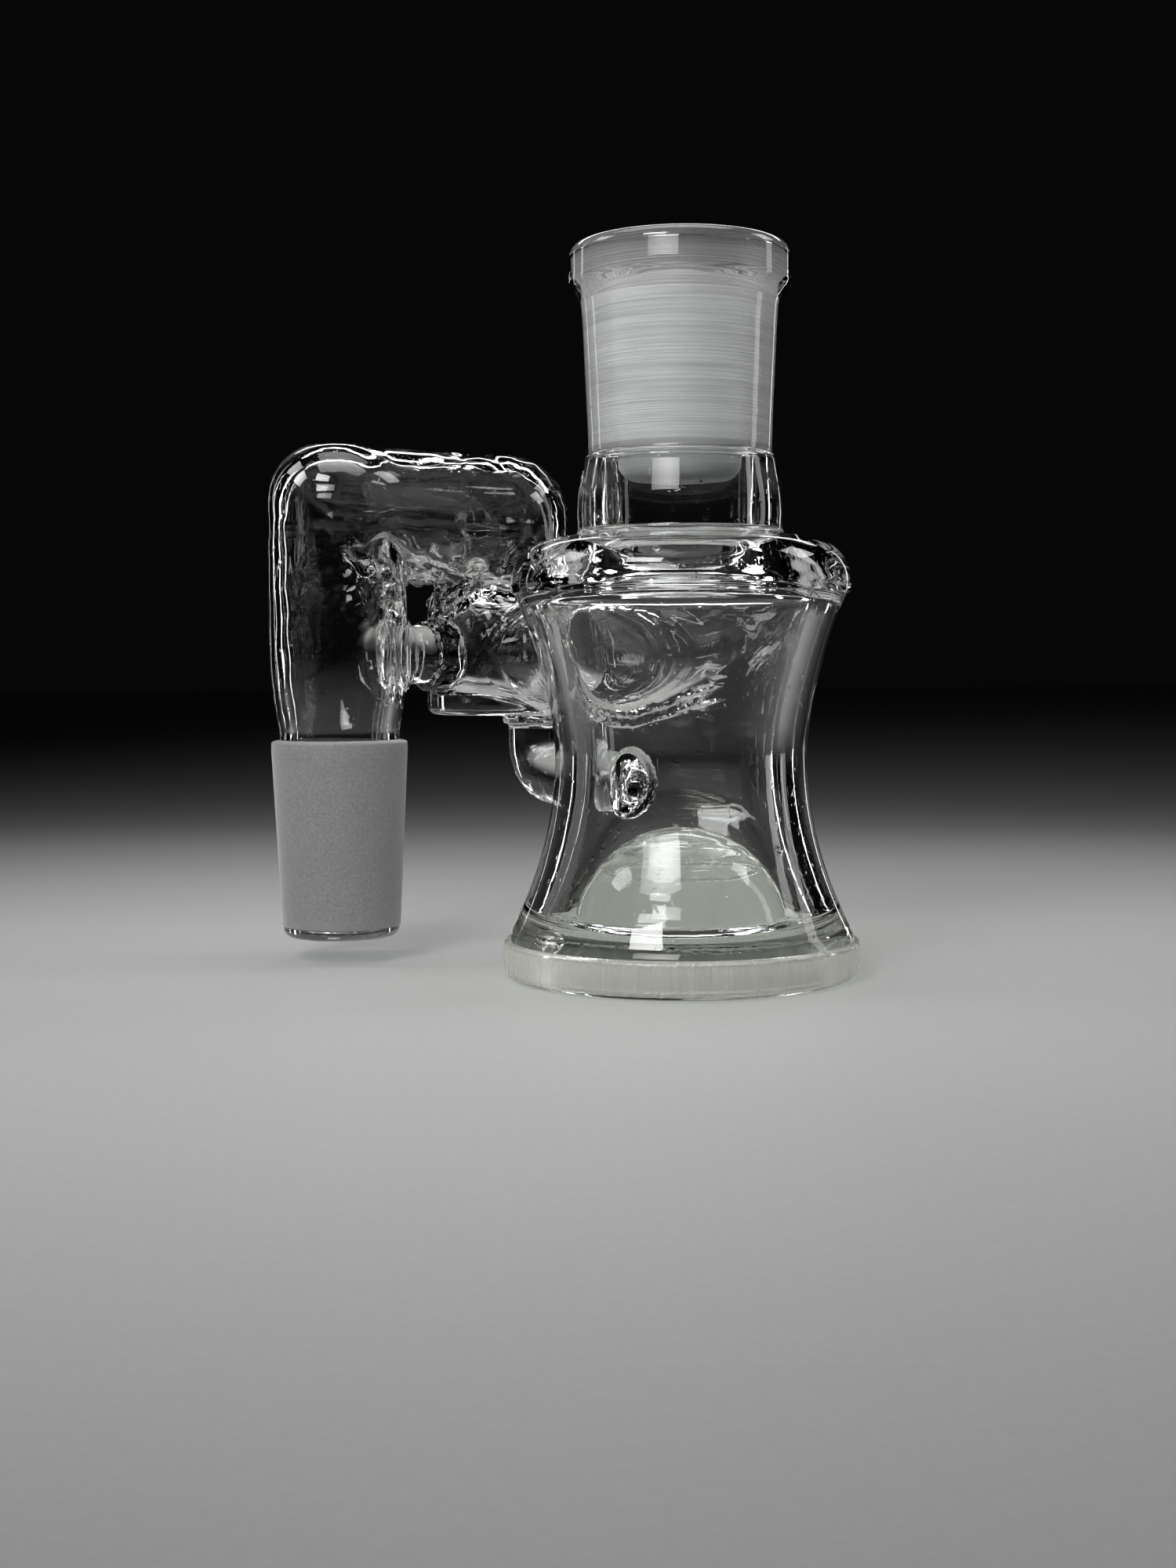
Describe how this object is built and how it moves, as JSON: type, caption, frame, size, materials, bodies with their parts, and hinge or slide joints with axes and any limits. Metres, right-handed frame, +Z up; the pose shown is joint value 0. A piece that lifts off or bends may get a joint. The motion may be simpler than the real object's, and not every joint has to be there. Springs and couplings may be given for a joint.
{
  "type": "drop-down glass joint adapter",
  "caption": "Clear glass drop-down adapter: waisted can on a solid foot, ground female joint on top, braced side arm that drops to a ground male joint.",
  "frame": {"origin": "centre of the foot's flat bottom, on the main can's axis", "axes": "+Z up along the main can's axis, +X away from the drop tube, +Y towards the side can"},
  "size_m": [0.0788, 0.0689, 0.0941],
  "materials": {
    "clear_glass": "clear fire-polished borosilicate glass, faint drawing lines",
    "thick_edge_glass": "thick clear glass with a pale straw-green edge",
    "ground_glass": "ground glass joint, white and matt, with fine level grinding lines"
  },
  "bodies": {
    "root": {"foot_disc": "thick_edge_glass", "floor_dome": "clear_glass", "can_wall": "clear_glass", "shoulder_ring": "clear_glass", "neck_collar": "clear_glass", "throat_cup": "ground_glass", "female_joint_barrel": "ground_glass", "female_joint_lip": "ground_glass", "port_tube": "clear_glass", "side_can_floor": "clear_glass", "side_can_wall": "clear_glass", "side_can_shoulder": "clear_glass", "rear_elbow": "clear_glass", "cross_tube": "clear_glass", "front_elbow": "clear_glass", "drop_tube": "clear_glass", "male_joint_neck": "clear_glass", "male_joint_cone": "ground_glass", "male_joint_tip": "clear_glass", "straight_brace_rod": "clear_glass", "drop_tube_weld_pad": "clear_glass", "side_can_weld_ring": "thick_edge_glass", "bent_brace_rod": "clear_glass", "bent_brace_collar": "clear_glass", "can_wall_weld_pad": "clear_glass"}
  },
  "joints": []
}
